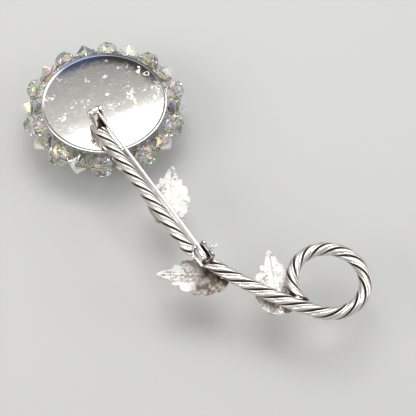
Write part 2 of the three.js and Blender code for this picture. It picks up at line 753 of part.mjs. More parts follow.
// Half of the leaf, with its midrib on the X axis, its base at 0 and its tip at LEAF_LENGTH.
function halfLeafOutline() {
  const outline = new THREE.Shape();
  outline.moveTo(LEAF_LENGTH, 0);
  outline.lineTo(LEAF_LENGTH - LEAF_NOTCH / 2, LEAF_HALF_WIDTH * LEAF_TIP_SHARE);
  for (const tooth of LEAF_TEETH) {
    const x = LEAF_LENGTH * (1 - tooth.along);
    const y = LEAF_HALF_WIDTH * tooth.out;
    outline.lineTo(x - LEAF_NOTCH_SETBACK, y - LEAF_NOTCH);
    outline.lineTo(x, y);
    outline.lineTo(x - LEAF_TOOTH_LENGTH, y);
  }
  outline.lineTo(LEAF_NOTCH / 2, LEAF_HALF_WIDTH * LEAF_BASE_SHARE);
  outline.lineTo(0, 0);
  outline.closePath();
  return outline;
}

function leaf() {
  const far = new THREE.ExtrudeGeometry(halfLeafOutline(), { depth: LEAF_THICKNESS, bevelEnabled: false });
  far.translate(0, 0, -LEAF_THICKNESS);
  const near = far.clone();
  near.rotateX(Math.PI);
  near.translate(0, 0, -LEAF_THICKNESS);
  far.rotateX(-LEAF_FOLD);
  near.rotateX(LEAF_FOLD);
  return toGeometry(join([far, near]));
}

function addLeaf(name, { along, across, pointing }) {
  const mesh = addPiece(name, leaf(), platedLeaf);
  const { x, y, heading } = ropeAt(along);
  mesh.position.set(x - across * Math.sin(heading), y + across * Math.cos(heading), LEAF_Z);
  mesh.rotation.z = THREE.MathUtils.degToRad(pointing);
}

// ---------- the whole ----------

addPiece('back_plate', backPlate(), platedMirror);
addPiece('bead_screen', beadScreen(), brassWire);
addOuterRing();
addFrontRing('middle', MIDDLE_RING_RADIUS, MIDDLE_COUNT);
addFrontRing('inner', INNER_RING_RADIUS, INNER_COUNT);
addCentreBead();
addPiece('stem_core', ropeCore(), platedRope);
for (let strand = 0; strand < STRAND_COUNT; strand += 1) {
  addPiece(`stem_strand_${strand + 1}`, ropeStrand(strand), platedRope);
}
addPiece('hinge_bracket', hingeBracket(), platedRope);
addPiece('hinge_rivet', hingeRivet(), platedRope);
addPiece('pin_needle', pinNeedle(), pinSteel);
addPiece('catch_housing', catchHousing(), platedRope);
addPiece('catch_rotor', catchRotor(), platedRope);
LEAVES.forEach((place, i) => addLeaf(`leaf_${i + 1}`, place));

export default brooch;
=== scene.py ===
"""A flower brooch, back up: mirror plate, crystal beads, rope stem, leaves, hinged needle and catch.

Metres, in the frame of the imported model: +Z out of the back, -Y down the stem.
"""
import math
import random

import bpy
from mathutils import Matrix, Vector, noise


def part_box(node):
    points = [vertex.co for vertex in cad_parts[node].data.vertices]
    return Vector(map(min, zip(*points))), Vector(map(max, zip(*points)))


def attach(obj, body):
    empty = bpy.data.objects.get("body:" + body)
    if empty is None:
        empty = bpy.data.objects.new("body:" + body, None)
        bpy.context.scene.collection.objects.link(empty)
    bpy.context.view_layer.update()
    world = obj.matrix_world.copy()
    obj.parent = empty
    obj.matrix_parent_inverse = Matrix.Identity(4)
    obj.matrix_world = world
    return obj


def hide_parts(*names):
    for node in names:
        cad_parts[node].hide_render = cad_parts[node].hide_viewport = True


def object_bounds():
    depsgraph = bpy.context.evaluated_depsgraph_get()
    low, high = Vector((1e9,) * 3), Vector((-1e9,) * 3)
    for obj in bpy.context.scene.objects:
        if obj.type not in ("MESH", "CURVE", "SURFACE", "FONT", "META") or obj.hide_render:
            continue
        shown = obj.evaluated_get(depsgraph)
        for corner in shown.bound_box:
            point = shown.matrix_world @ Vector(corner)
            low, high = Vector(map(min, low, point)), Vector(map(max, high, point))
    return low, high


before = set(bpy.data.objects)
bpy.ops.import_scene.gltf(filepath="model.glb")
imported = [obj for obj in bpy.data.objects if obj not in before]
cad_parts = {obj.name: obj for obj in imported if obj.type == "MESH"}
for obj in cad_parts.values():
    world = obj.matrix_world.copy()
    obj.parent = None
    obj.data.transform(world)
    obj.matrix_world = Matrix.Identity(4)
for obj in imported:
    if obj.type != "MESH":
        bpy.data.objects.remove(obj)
cad_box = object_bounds()
MM = 0.001


# ---------------------------------------------------------------- table top, lights and camera
# The brooch lies back up on a plain pale table, under one big soft light with a weaker one
# on each side. The camera looks down at it from beyond the loop.

CAMERA_PLACE = Vector((-0.0789, -0.1621, 0.2276))
CAMERA_LOOK = Vector((0.3095, 0.4420, -0.8420))
CAMERA_ROLL = math.radians(2)
CAMERA_LENS = 94.4
TABLE_SIZE = 3.0
TABLE_COLOUR = (0.50, 0.50, 0.49, 1)
WALL_FOOT = (0.16, 0.16, 0.16, 1)
CEILING = (0.60, 0.60, 0.61, 1)
# how bright the room is at each height of the sky: pale walls, a darker band that the plate
# mirrors along its far side, and a bright ceiling
ROOM_BANDS = (
    (0.28, 0.5), (0.45, 0.9), (0.6, 0.85), (0.70, 0.42),
    (0.742, 0.16), (0.764, 0.5), (0.785, 0.82), (0.83, 0.9),
)


def plain_name(piece, name):
    piece.name = name
    piece.data.name = name
    return piece


def nothing_selected():
    if bpy.context.object and bpy.context.object.mode != "OBJECT":
        bpy.ops.object.mode_set(mode="OBJECT")
    bpy.ops.object.select_all(action="DESELECT")


def socket_values(shader, **values):
    for name, value in values.items():
        shader.inputs[name.replace("_", " ")].default_value = value


def new_material(name):
    material = bpy.data.materials.new(name)
    material.use_nodes = True
    return material, material.node_tree, material.node_tree.nodes["Principled BSDF"]


camera = bpy.data.objects.new("camera", bpy.data.cameras.new("camera"))
bpy.context.scene.collection.objects.link(camera)
camera.data.lens = CAMERA_LENS
camera.data.sensor_width = 36
camera.data.clip_start = 0.01
facing = CAMERA_LOOK.to_track_quat("-Z", "Y").to_matrix().to_4x4()
camera.matrix_world = Matrix.Translation(CAMERA_PLACE) @ facing @ Matrix.Rotation(CAMERA_ROLL, 4, "Z")
bpy.context.scene.camera = camera
bpy.context.scene.view_settings.view_transform = "Standard"

nothing_selected()
bpy.ops.mesh.primitive_plane_add(size=TABLE_SIZE, location=(0, 0, cad_box[0][2]))
table = plain_name(bpy.context.object, "table_top")
pale, _, pale_shader = new_material("pale_table")
socket_values(pale_shader, Base_Color=TABLE_COLOUR, Roughness=0.7)
table.data.materials.append(pale)


def soft_light(name, size, power, place, aim, colour=(1, 1, 1), turn=0.0):
    light = bpy.data.objects.new(name, bpy.data.lights.new(name, "AREA"))
    light.data.shape = "SQUARE"
    light.data.size = size
    light.data.energy = power
    light.data.color = colour
    direction = Vector(aim) - Vector(place)
    pose = direction.to_track_quat("-Z", "Y").to_matrix().to_4x4()
    light.matrix_world = Matrix.Translation(place) @ pose @ Matrix.Rotation(turn, 4, "Z")
    bpy.context.scene.collection.objects.link(light)


ABOVE = (0.1166, 0.1056)
soft_light("softbox_above", 0.32, 1.1, (*ABOVE, 0.4), (*ABOVE, 0), turn=math.radians(-7))
soft_light("softbox_left", 0.35, 1.6, (-0.55, 0.05, 0.35), (0, -0.03, 0), (1.0, 0.98, 0.95))
soft_light("softbox_right", 0.30, 0.8, (0.5, -0.35, 0.3), (0, -0.03, 0), (0.93, 0.96, 1.0))

world = bpy.data.worlds.new("studio")
bpy.context.scene.world = world
world.use_nodes = True
sky = world.node_tree
sky_direction = sky.nodes.new("ShaderNodeTexCoord")
sky_split = sky.nodes.new("ShaderNodeSeparateXYZ")
sky_ramp = sky.nodes.new("ShaderNodeValToRGB")
sky.links.new(sky_direction.outputs["Generated"], sky_split.inputs[0])
sky.links.new(sky_split.outputs["Z"], sky_ramp.inputs["Fac"])
sky.links.new(sky_ramp.outputs["Color"], sky.nodes["Background"].inputs["Color"])
ramp = sky_ramp.color_ramp
ramp.elements[0].position = 0.0
ramp.elements[0].color = WALL_FOOT
ramp.elements[1].position = 1.0
ramp.elements[1].color = CEILING
for height, grey in ROOM_BANDS:
    stop = ramp.elements.new(height)
    stop.color = (grey, grey * 0.99, grey * 0.98, 1)
sky.nodes["Background"].inputs["Strength"].default_value = 1.0


# ---------------------------------------------------------------- back plate
# A disc of nickel-plated brass, 33 mm across, with a rolled rim and a skirt crimped round the
# bead screen. The mirror plating is scratched, speckled and worn through in spots.

PLATE_RADIUS = 16.5 * MM
PLATE_THICKNESS = 0.5 * MM
PLATE_RIM = 0.45 * MM
PLATE_RIM_HEIGHT = 0.15 * MM
PLATE_SKIRT_INSET = 0.65 * MM
PLATE_SKIRT_WALL = 0.5 * MM
PLATE_SKIRT_DEPTH = 1.2 * MM
PLATE_ROUNDING = 0.09 * MM
SHARP_EDGE = math.radians(35)


def pick_faces(piece, wanted):
    """Leaves edit mode with only the wanted faces selected, and comes back to it."""
    bpy.ops.object.mode_set(mode="EDIT")
    bpy.ops.mesh.select_mode(type="FACE")
    bpy.ops.mesh.select_all(action="DESELECT")
    bpy.ops.object.mode_set(mode="OBJECT")
    for face in piece.data.polygons:
        face.select = bool(wanted(face))
    bpy.ops.object.mode_set(mode="EDIT")


def finish_edit():
    bpy.ops.mesh.select_all(action="SELECT")
    bpy.ops.mesh.remove_doubles(threshold=1e-7)
    bpy.ops.mesh.normals_make_consistent(inside=False)
    bpy.ops.object.mode_set(mode="OBJECT")


def apply_all(piece):
    bpy.context.view_layer.objects.active = piece
    for modifier in list(piece.modifiers):
        bpy.ops.object.modifier_apply(modifier=modifier.name)


def only(piece):
    """Nothing but this piece is selected, and it is the active one."""
    nothing_selected()
    piece.select_set(True)
    bpy.context.view_layer.objects.active = piece


def place_in_mesh(piece):
    """The piece's place goes into its mesh, and its object stays at the origin."""
    only(piece)
    bpy.ops.object.transform_apply(location=True, rotation=True, scale=True)
    return piece


def round_edges(piece, width, segments=2):
    bevel = piece.modifiers.new("rounded_edges", "BEVEL")
    bevel.width = width
    bevel.segments = segments
    bevel.limit_method = "ANGLE"
    bevel.angle_limit = SHARP_EDGE
    apply_all(piece)


def smooth(piece, angle=30):
    only(piece)
    bpy.ops.object.shade_smooth_by_angle(angle=math.radians(angle))


nothing_selected()
bpy.ops.mesh.primitive_cylinder_add(
    vertices=256, radius=PLATE_RADIUS, depth=PLATE_THICKNESS + PLATE_RIM_HEIGHT, end_fill_type="NGON",
    location=(0, 0, PLATE_RIM_HEIGHT - (PLATE_THICKNESS + PLATE_RIM_HEIGHT) / 2),
)
plate = place_in_mesh(plain_name(bpy.context.object, "plate"))
pick_faces(plate, lambda face: face.normal.z > 0.9)
bpy.ops.mesh.inset(thickness=PLATE_RIM)
bpy.ops.mesh.extrude_region_move(TRANSFORM_OT_translate={"value": (0, 0, -PLATE_RIM_HEIGHT)})
bpy.ops.mesh.inset(thickness=PLATE_RIM)
pick_faces(plate, lambda face: face.normal.z < -0.9)
bpy.ops.mesh.inset(thickness=PLATE_SKIRT_INSET)
bpy.ops.mesh.extrude_region_move(TRANSFORM_OT_translate={"value": (0, 0, -PLATE_SKIRT_DEPTH)})
bpy.ops.mesh.inset(thickness=PLATE_SKIRT_WALL)
bpy.ops.mesh.extrude_region_move(TRANSFORM_OT_translate={"value": (0, 0, PLATE_SKIRT_DEPTH)})
finish_edit()
round_edges(plate, PLATE_ROUNDING, segments=3)
smooth(plate)


def mask_group(name, numbers, places=()):
    """An empty group of nodes with the named numbers and places going in, and one mask coming out."""
    group = bpy.data.node_groups.new(name, "ShaderNodeTree")
    for place in places:
        group.interface.new_socket(place, in_out="INPUT", socket_type="NodeSocketVector")
    for number in numbers:
        group.interface.new_socket(number, in_out="INPUT", socket_type="NodeSocketFloat")
    group.interface.new_socket("Mask", in_out="OUTPUT", socket_type="NodeSocketFloat")
    return group, group.nodes.new("NodeGroupInput"), group.nodes.new("NodeGroupOutput")


def worked_out(tree, operation, first, second, clamp=False):
    """The result of one step of arithmetic on two terms, each a number or another node's output."""
    step = tree.nodes.new("ShaderNodeMath")
    step.operation = operation
    step.use_clamp = clamp
    for index, term in enumerate((first, second)):
        if isinstance(term, bpy.types.NodeSocket):
            tree.links.new(term, step.inputs[index])
        else:
            step.inputs[index].default_value = term
    return step.outputs["Value"]


def cloudy(tree, detail, scale=None):
    """A noise in the piece's own metres; the scale is left open where another node sets it."""
    place = tree.nodes.new("ShaderNodeTexCoord")
    cloud = tree.nodes.new("ShaderNodeTexNoise")
    cloud.inputs["Detail"].default_value = detail
    if scale:
        cloud.inputs["Scale"].default_value = scale
    tree.links.new(place.outputs["Object"], cloud.inputs["Vector"])
    return cloud


# turn of each set of scratches, and how many times longer than wide they are
SCRATCH_WAYS = ((0.35, 14.0), (1.35, 22.0), (2.5, 17.0))
SCRATCH_FROM = 0.66
SCRATCH_FULL = 0.74
SPOT_FROM = 0.36


def scratch_group():
    """Fine scratches as a mask: long thin cells, turned and warped a little, in three directions."""
    group, inputs, outputs = mask_group("fine_scratches", ("Scale", "Amount"))
    nodes, links = group.nodes, group.links
    place = nodes.new("ShaderNodeTexCoord")
    total = None
    for turn, stretch in SCRATCH_WAYS:
        turned = nodes.new("ShaderNodeMapping")
        turned.inputs["Rotation"].default_value = (0, 0, turn)
        turned.inputs["Scale"].default_value = (1, stretch, stretch)
        streaks = nodes.new("ShaderNodeTexNoise")
        streaks.inputs["Detail"].default_value = 2
        streaks.inputs["Distortion"].default_value = 0.35
        cut = nodes.new("ShaderNodeMapRange")
        cut.inputs["From Min"].default_value = SCRATCH_FROM
        cut.inputs["From Max"].default_value = SCRATCH_FULL
        links.new(place.outputs["Object"], turned.inputs["Vector"])
        links.new(turned.outputs["Vector"], streaks.inputs["Vector"])
        links.new(inputs.outputs["Scale"], streaks.inputs["Scale"])
        links.new(streaks.outputs["Fac"], cut.inputs["Value"])
        mask = cut.outputs["Result"]
        total = mask if total is None else worked_out(group, "MAXIMUM", total, mask)
    links.new(worked_out(group, "MULTIPLY", total, inputs.outputs["Amount"]), outputs.inputs["Mask"])
    return group


def spot_group():
    """Worn spots as a mask: patches of small flecks, with a named size and share."""
    group, inputs, outputs = mask_group("worn_spots", ("Fleck Scale", "Patch Scale", "Cover", "Soft Edge"))
    links = group.links
    fleck = cloudy(group, 6)
    fleck.inputs["Roughness"].default_value = 0.65
    patch = cloudy(group, 3)
    links.new(inputs.outputs["Fleck Scale"], fleck.inputs["Scale"])
    links.new(inputs.outputs["Patch Scale"], patch.inputs["Scale"])
    both = worked_out(group, "MULTIPLY", fleck.outputs["Fac"], patch.outputs["Fac"])
    cut = group.nodes.new("ShaderNodeMapRange")
    cut.inputs["From Min"].default_value = SPOT_FROM
    full = worked_out(group, "ADD", SPOT_FROM, inputs.outputs["Soft Edge"])
    links.new(full, cut.inputs["From Max"])
    links.new(worked_out(group, "ADD", both, inputs.outputs["Cover"]), cut.inputs["Value"])
    links.new(cut.outputs["Result"], outputs.inputs["Mask"])
    return group


FINE_SCRATCHES = scratch_group()
WORN_SPOTS = spot_group()


def placed_group(tree, group, **values):
    """A group in a material, with its inputs set by name; an underscore stands for a space."""
    node = tree.nodes.new("ShaderNodeGroup")
    node.node_tree = group
    for name, value in values.items():
        node.inputs[name.replace("_", " ")].default_value = value
    return node


def scratches_on(tree, scale, amount):
    return placed_group(tree, FINE_SCRATCHES, Scale=scale, Amount=amount).outputs["Mask"]


def spots_on(tree, fleck_scale, patch_scale, cover, soft_edge):
    spots = placed_group(tree, WORN_SPOTS, Fleck_Scale=fleck_scale, Patch_Scale=patch_scale, Cover=cover)
    spots.inputs["Soft Edge"].default_value = soft_edge
    return spots.outputs["Mask"]


def mixed_colour(tree, mask, first, second):
    """The first colour where the mask is black and the second where it is white."""
    mix = tree.nodes.new("ShaderNodeMix")
    mix.data_type = "RGBA"
    tree.links.new(mask, mix.inputs["Factor"])
    for value, name in ((first, "A"), (second, "B")):
        socket = next(s for s in mix.inputs if s.name == name and s.type == "RGBA")
        if isinstance(value, bpy.types.NodeSocket):
            tree.links.new(value, socket)
        else:
            socket.default_value = (*value, 1)
    return next(s for s in mix.outputs if s.type == "RGBA")


def ranged(tree, value, low, high):
    """A mask spread over another range: low where it is 0, high where it is 1."""
    scale = tree.nodes.new("ShaderNodeMapRange")
    scale.inputs["To Min"].default_value = low
    scale.inputs["To Max"].default_value = high
    tree.links.new(value, scale.inputs["Value"])
    return scale.outputs["Result"]


def bumped(tree, shader, height, strength, distance):
    bump = tree.nodes.new("ShaderNodeBump")
    bump.inputs["Strength"].default_value = strength
    bump.inputs["Distance"].default_value = distance
    tree.links.new(height, bump.inputs["Height"])
    tree.links.new(bump.outputs["Normal"], shader.inputs["Normal"])


def mark_group():
    """One mark at a place on a piece, with a ragged edge: a patch, or a ring where Hollow is above zero."""
    group, inputs, outputs = mask_group("mark_at_a_place", ("Size", "Edge", "Ragged", "Hollow"), ("Place",))
    given = inputs.outputs
    place = group.nodes.new("ShaderNodeTexCoord")
    away = group.nodes.new("ShaderNodeVectorMath")
    away.operation = "DISTANCE"
    group.links.new(place.outputs["Object"], away.inputs[0])
    group.links.new(given["Place"], away.inputs[1])
    uneven = worked_out(group, "SUBTRACT", cloudy(group, 3, 900).outputs["Fac"], 0.5)
    ragged = worked_out(group, "MULTIPLY", uneven, given["Ragged"])
    distance = worked_out(group, "ADD", ragged, away.outputs["Value"])
    from_ring = worked_out(group, "ABSOLUTE", worked_out(group, "SUBTRACT", distance, given["Hollow"]), 0)
    past_edge = worked_out(group, "SUBTRACT", from_ring, given["Size"])
    softened = worked_out(group, "DIVIDE", past_edge, given["Edge"])
    mask = worked_out(group, "SUBTRACT", 0.5, softened, clamp=True)
    group.links.new(mask, outputs.inputs["Mask"])
    return group


MARK_AT_A_PLACE = mark_group()


def joined_masks(tree, masks):
    total = masks[0]
    for mask in masks[1:]:
        total = worked_out(tree, "MAXIMUM", total, mask)
    return total


def mark(tree, place, size, edge, ragged, hollow=0.0):
    """The mask of one mark; all its measures are in millimetres."""
    node = placed_group(tree, MARK_AT_A_PLACE, Size=size * MM, Edge=edge * MM, Ragged=ragged * MM)
    node.inputs["Hollow"].default_value = hollow * MM
    node.inputs["Place"].default_value = (place[0] * MM, place[1] * MM, 0)
    return node.outputs["Mask"]


def along_direction(tree, direction, low, high, waver):
    """A mask that rises along a direction, from one distance to another, with a wavering edge."""
    place = tree.nodes.new("ShaderNodeTexCoord")
    dot = tree.nodes.new("ShaderNodeVectorMath")
    dot.operation = "DOT_PRODUCT"
    dot.inputs[1].default_value = (*direction, 0)
    tree.links.new(place.outputs["Object"], dot.inputs[0])
    shift = ranged(tree, cloudy(tree, 4, 260).outputs["Fac"], -waver * MM, waver * MM)
    total = worked_out(tree, "ADD", dot.outputs["Value"], shift)
    rise = tree.nodes.new("ShaderNodeMapRange")
    rise.interpolation_type = "SMOOTHSTEP"
    rise.inputs["From Min"].default_value = low * MM
    rise.inputs["From Max"].default_value = high * MM
    tree.links.new(total, rise.inputs["Value"])
    return rise.outputs["Result"]


PLATING = (0.62, 0.60, 0.575)
SCUFFED = (0.86, 0.82, 0.77)
PEELED = (0.93, 0.84, 0.70)
REFLECTED_BLUE = (0.10, 0.13, 0.24)
REFLECTED_BLACK = (0.035, 0.035, 0.04)
REFLECTION_STRENGTH = 0.9
# the painted reflection's dark crescent lies this way from the middle, blue at one end and black at the
# other
REFLECTION_WAY = (0.616, 0.788)


def worn_mirror():
    material, tree, shader = new_material("worn_mirror_plate")
    socket_values(shader, Metallic=1.0)
    scratches = scratches_on(tree, 380, 0.4)
    flecks = spots_on(tree, 1300, 200, 0.05, 0.22)
    pale_spots = joined_masks(tree, [
        mark(tree, (2.0, 1.7), 0.3, 0.5, 0.9), mark(tree, (7.6, 11.9), 0.25, 0.4, 0.7),
        mark(tree, (11.0, -2.4), 0.15, 0.4, 0.6), mark(tree, (12.2, -5.7), 0.2, 0.5, 0.8),
        mark(tree, (6.9, -3.9), 0.0, 1.4, 4.0), mark(tree, (-0.1, 8.2), 0.0, 1.5, 4.5),
        mark(tree, (4.3, 7.2), 0.0, 1.3, 4.0), mark(tree, (10.6, 5.4), 0.0, 0.8, 2.4),
    ])
    scuffs = joined_masks(tree, [scratches, flecks, pale_spots])
    colour = mixed_colour(tree, scuffs, PLATING, SCUFFED)
    # painted reflection: a dark crescent along the plate's far rim, blue at one end and black at the other,
    # stands in for the dark room that the mirror shows there
    across_reflection = along_direction(tree, (REFLECTION_WAY[1], -REFLECTION_WAY[0]), -8, 1, 1.5)
    reflection_colour = mixed_colour(tree, across_reflection, REFLECTED_BLUE, REFLECTED_BLACK)
    outer = ranged(tree, mark(tree, (0, 0), 13.4, 2.4, 3.0), 1, 0)
    far_rim_reflection = worked_out(tree, "MULTIPLY", along_direction(tree, REFLECTION_WAY, 5.0, 11.0, 1.6), outer)
    speckles = spots_on(tree, 2600, 900, 0.13, 0.08)
    speckled = worked_out(tree, "MULTIPLY", mark(tree, (14.9, -0.9), 1.1, 1.6, 1.2), speckles)
    dark = joined_masks(tree, [worked_out(tree, "MULTIPLY", far_rim_reflection, REFLECTION_STRENGTH), speckled])
    colour = mixed_colour(tree, dark, colour, reflection_colour)
    peeled = joined_masks(tree, [
        mark(tree, (12.9, 4.1), 0.65, 0.3, 2.2), mark(tree, (13.9, 5.2), 0.25, 0.25, 1.6),
        mark(tree, (14.4, 2.1), 0.1, 0.3, 1.1, 0.65),
    ])
    colour = mixed_colour(tree, peeled, colour, PEELED)
    tree.links.new(colour, shader.inputs["Base Color"])
    worn = joined_masks(tree, [scuffs, peeled])
    tree.links.new(ranged(tree, worn, 0.075, 0.5), shader.inputs["Roughness"])
    bumped(tree, shader, cloudy(tree, 3, 120).outputs["Fac"], 0.04, 0.4 * MM)
    return material


plate.data.materials.append(worn_mirror())
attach(plate, "root")
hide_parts("back_plate")


# ---------------------------------------------------------------- bead screen
# A domed brass sheet with rings of lacing holes, crimped into the plate's skirt. The beads
# are laced to it, so little of it is seen.

BRASS_CLEAN = (0.56, 0.44, 0.26)
BRASS_DULL = (0.25, 0.18, 0.11)


def dull_brass():
    material, tree, shader = new_material("dull_brass")
    socket_values(shader, Metallic=1.0)
    spots = spots_on(tree, 1400, 300, 0.12, 0.08)
    colour = mixed_colour(tree, spots, BRASS_CLEAN, BRASS_DULL)
    tree.links.new(colour, shader.inputs["Base Color"])
    tree.links.new(ranged(tree, spots, 0.26, 0.55), shader.inputs["Roughness"])
    return material


def shown_as_it_is(node, material):
    """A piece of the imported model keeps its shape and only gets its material."""
    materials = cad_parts[node].data.materials
    materials.clear()
    materials.append(material)


BRASS = dull_brass()
shown_as_it_is("bead_screen", BRASS)


# ---------------------------------------------------------------- crystal beads
# Clear glass beads with a rainbow coating: round faceted ones and bicones by turns in the outer
# ring, round ones on the dome. Each is ground in rows of facets, and drilled from end to end.

BEAD_FACETS = 9
BICONE_FACETS = 8
CENTRE_FACETS = 10
BEAD_HOLE = 0.5 * MM
ROUND_RADIUS = 2.85 * MM
CENTRE_RADIUS = 3.5 * MM
BICONE_HALF = 2.647 * MM
BICONE_ROWS = (
    (BEAD_HOLE, BICONE_HALF), (0.95 * MM, BICONE_HALF), (2.72 * MM, 0.28 * MM),
    (2.72 * MM, -0.28 * MM), (0.95 * MM, -BICONE_HALF), (BEAD_HOLE, -BICONE_HALF),
)
# half of the facets are nearly clear; the rest flash yellow-green, blue, violet, orange or turquoise
COATING_TINTS = (
    (1.0, 1.0, 1.0), (1.0, 1.0, 1.0), (0.97, 0.98, 1.0), (1.0, 0.99, 0.96), (1.0, 0.96, 0.93),
    (0.96, 1.0, 0.97), (0.80, 1.0, 0.32), (0.50, 0.60, 1.0), (0.86, 0.52, 1.0), (1.0, 0.72, 0.42),
    (0.50, 1.0, 0.92),
)


def own_values(tree, name):
    """A colour or number that the piece's mesh carries under a name."""
    values = tree.nodes.new("ShaderNodeAttribute")
    values.attribute_name = name
    return values


def coated_crystal():
    material, tree, shader = new_material("coated_crystal")
    socket_values(shader, Roughness=0.07, IOR=1.50, Transmission_Weight=1.0)
    socket_values(shader, Thin_Film_Thickness=430.0, Thin_Film_IOR=1.75)
    tree.links.new(own_values(tree, "coating").outputs["Color"], shader.inputs["Base Color"])
    return material


CRYSTAL = coated_crystal()


def bead_blank(name, rows, facets):
    """A drilled bead round Z: rings of corners, each half a facet on from the last, and the hole's wall."""
    nothing_selected()
    for index, (radius, height) in enumerate(rows):
        turn = (index % 2) * math.pi / facets
        if index == 0:
            bpy.ops.mesh.primitive_circle_add(vertices=facets, radius=radius, location=(0, 0, height))
            bead = plain_name(bpy.context.object, name)
            place_in_mesh(bead)
            bpy.ops.object.mode_set(mode="EDIT")
        else:
            bpy.ops.mesh.primitive_circle_add(
                vertices=facets, radius=radius, location=(0, 0, height), rotation=(0, 0, turn)
            )
    bpy.ops.mesh.select_all(action="SELECT")
    bpy.ops.mesh.bridge_edge_loops(type="CLOSED")
    bpy.ops.mesh.select_all(action="SELECT")
    bpy.ops.mesh.quads_convert_to_tris(quad_method="FIXED", ngon_method="BEAUTY")
    finish_edit()
    return bead


def ball_rows(radius, heights, end_radius):
    """Rings of a ball with flat ends, at shares of its radius up and down from the middle."""
    end = math.sqrt(radius**2 - end_radius**2)
    upper = [(radius * math.sqrt(1 - h * h), radius * h) for h in heights]
    lower = [(r, -h) for r, h in reversed(upper)]
    return [(BEAD_HOLE, end), (end_radius, end), *upper, *lower, (end_radius, -end), (BEAD_HOLE, -end)]


def coated_copy(blank, name, node, turn, spin, seed):
    """A copy of a bead in its node's place, turned by a matrix, each facet with its tint of the coating."""
    bead = bpy.data.objects.new(name, blank.data.copy())
    bpy.context.scene.collection.objects.link(bead)
    low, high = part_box(node)
    middle = (low + high) / 2
    bead.data.transform(Matrix.Translation(middle) @ turn @ Matrix.Rotation(spin, 4, "Z"))
    chance = random.Random(seed)
    colours = bead.data.color_attributes.new("coating", "FLOAT_COLOR", "CORNER")
    for face in bead.data.polygons:
        tint = chance.choice(COATING_TINTS)
        for corner in face.loop_indices:
            colours.data[corner].color = (*tint, 1)
    bead.data.materials.append(CRYSTAL)
    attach(bead, "root")
    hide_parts(node)


def threaded(node):
    """The turn that lays a bead's hole along its ring."""
    low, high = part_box(node)
    middle = (low + high) / 2
    return Matrix.Rotation(math.atan2(middle.y, middle.x), 4, "Z") @ Matrix.Rotation(-math.pi / 2, 4, "X")


round_blank = bead_blank("round_blank", ball_rows(ROUND_RADIUS, (0.74, 0.36), 1.17 * MM), BEAD_FACETS)
centre_rows = ball_rows(CENTRE_RADIUS, (0.78, 0.48, 0.16), 1.37 * MM)
centre_blank = bead_blank("centre_blank", centre_rows, CENTRE_FACETS)
bicone_blank = bead_blank("bicone_blank", BICONE_ROWS, BICONE_FACETS)

bead_nodes = sorted(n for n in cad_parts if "_bead_" in n or "_bicone_" in n)
for seed, node in enumerate(bead_nodes):
    blank = bicone_blank if "bicone" in node else round_blank
    coated_copy(blank, "crystal_" + node, node, threaded(node), seed * 1.7, seed)
coated_copy(centre_blank, "crystal_centre_bead", "centre_bead", Matrix.Identity(4), 0, 77)
for blank in (round_blank, centre_blank, bicone_blank):
    bpy.data.objects.remove(blank)

for node in ("outer_wire", "middle_wire", "inner_wire", "centre_wire"):
    shown_as_it_is(node, BRASS)


# ---------------------------------------------------------------- rope stem
# Four strands of milled gallery wire twisted left-handed round a core, then bent into the stem
# and its loop. Each strand has a narrow rib, a furrow crossed by fine bars, and a broad rib.

ROPE_RADIUS = 1.64 * MM
ROPE_HEIGHT = 2.05 * MM
ROPE_PITCH = 18 * MM
STRANDS = 4
STEM_TOP = Vector((-6.4 * MM, -9.3 * MM, 0))
STRAIGHT = 39.4 * MM
BEND_RADIUS = 10 * MM
BEND = math.radians(17.5)
SLANT = 34 * MM
SLANT_TURN = math.radians(21.3)
LOOP_RADIUS = 8.7 * MM
LOOP_SWEEP = math.radians(321)
LOOP_SPARE = 3 * MM
STEM_JOINT = 0.12 * MM
MILLING_PITCH = 0.5 * MM
MILLING_STEPS = 4
# each stretch of the rope: its length and how far it turns
ROPE_SECTIONS = (
    (STRAIGHT, 0.0), (BEND_RADIUS * BEND, BEND), (SLANT, SLANT_TURN),
    (LOOP_RADIUS * LOOP_SWEEP, LOOP_SWEEP),
)
ROPE_LENGTH = sum(length for length, turn in ROPE_SECTIONS)
# one strand's section: degrees from its middle, share of the rope's radius, and lift by the milling
STRAND_SECTION = (
    (-39.5, 0.50, 0), (-39, 0.72, 0), (-35.5, 0.875, 0), (-31, 0.93, 0.02), (-25, 0.95, 0.025),
    (-19, 0.94, 0.025), (-15, 0.905, 0.03), (-12.5, 0.86, 0.085), (-8.5, 0.86, 0.085), (-6, 0.925, 0.03),
    (0, 0.975, 0.010), (8, 0.993, 0.006), (17, 0.99, 0.006), (25, 0.965, 0.004), (32, 0.915, 0),
    (37, 0.84, 0), (39, 0.70, 0), (39.5, 0.50, 0),
)


def rope_point(distance):
    """The rope's centreline at a distance from its top: place and heading."""
    place = Vector(STEM_TOP)
    heading = -math.pi / 2
    left = distance
    for length, turn in ROPE_SECTIONS:
        last = (length, turn) == ROPE_SECTIONS[-1]
        run = left if last else min(left, length)
        if turn == 0:
            place += run * Vector((math.cos(heading), math.sin(heading), 0))
        else:
            radius = length / turn
            after = heading + run / radius
            ahead = math.sin(after) - math.sin(heading)
            aside = math.cos(heading) - math.cos(after)
            place += radius * Vector((ahead, aside, 0))
            heading = after
        left -= run
        if left <= 0:
            break
    return place, heading


def rope_guide():
    """The centreline as a curve, for the strands to follow."""
    guide = bpy.data.curves.new("rope_guide", "CURVE")
    guide.dimensions = "3D"
    guide.twist_mode = "Z_UP"
    steps = int((ROPE_LENGTH + 2 * LOOP_SPARE) / MILLING_PITCH)
    line = guide.splines.new("POLY")
    line.points.add(steps)
    for i, point in enumerate(line.points):
        place = rope_point(i * MILLING_PITCH)[0]
        point.co = (place.x, place.y, ROPE_HEIGHT, 1)
    piece = bpy.data.objects.new("rope_guide", guide)
    bpy.context.scene.collection.objects.link(piece)
    return piece


